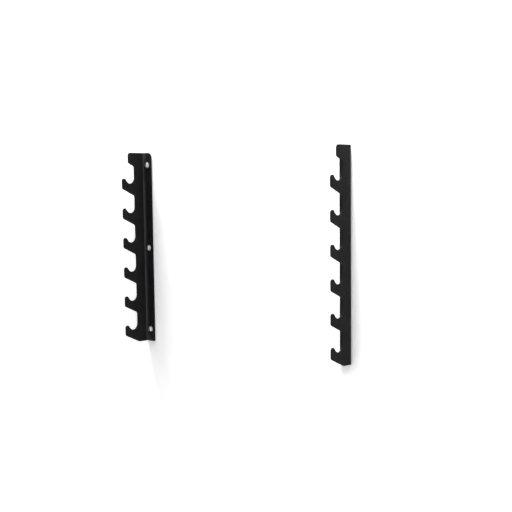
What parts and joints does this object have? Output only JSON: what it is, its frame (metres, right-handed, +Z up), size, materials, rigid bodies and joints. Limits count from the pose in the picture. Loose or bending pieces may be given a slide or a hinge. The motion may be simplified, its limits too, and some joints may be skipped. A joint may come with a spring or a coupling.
{
  "type": "barbell storage rack",
  "caption": "Wall-mounted pair of bent steel uprights with open hooks one above the other, which hold barbells lying across them.",
  "frame": {"origin": "on the wall's surface, midway between the two uprights, level with their bottom edges", "axes": "+Z up, +X along the wall to the right as seen from the room, +Y straight into the wall"},
  "size_m": [1.05, 0.1966, 0.7775],
  "materials": {
    "black_powder_coat": "matte black powder coat",
    "bright_zinc": "bright zinc plating",
    "grey_nylon": "moulded nylon"
  },
  "bodies": {
    "root": {"left_upright": "black_powder_coat", "left_screw_1": "bright_zinc", "left_washer_1": "bright_zinc", "left_wall_plug_1": "grey_nylon", "left_screw_2": "bright_zinc", "left_washer_2": "bright_zinc", "left_wall_plug_2": "grey_nylon", "left_screw_3": "bright_zinc", "left_washer_3": "bright_zinc", "left_wall_plug_3": "grey_nylon", "right_upright": "black_powder_coat", "right_screw_1": "bright_zinc", "right_washer_1": "bright_zinc", "right_wall_plug_1": "grey_nylon", "right_screw_2": "bright_zinc", "right_washer_2": "bright_zinc", "right_wall_plug_2": "grey_nylon", "right_screw_3": "bright_zinc", "right_washer_3": "bright_zinc", "right_wall_plug_3": "grey_nylon"}
  },
  "joints": []
}
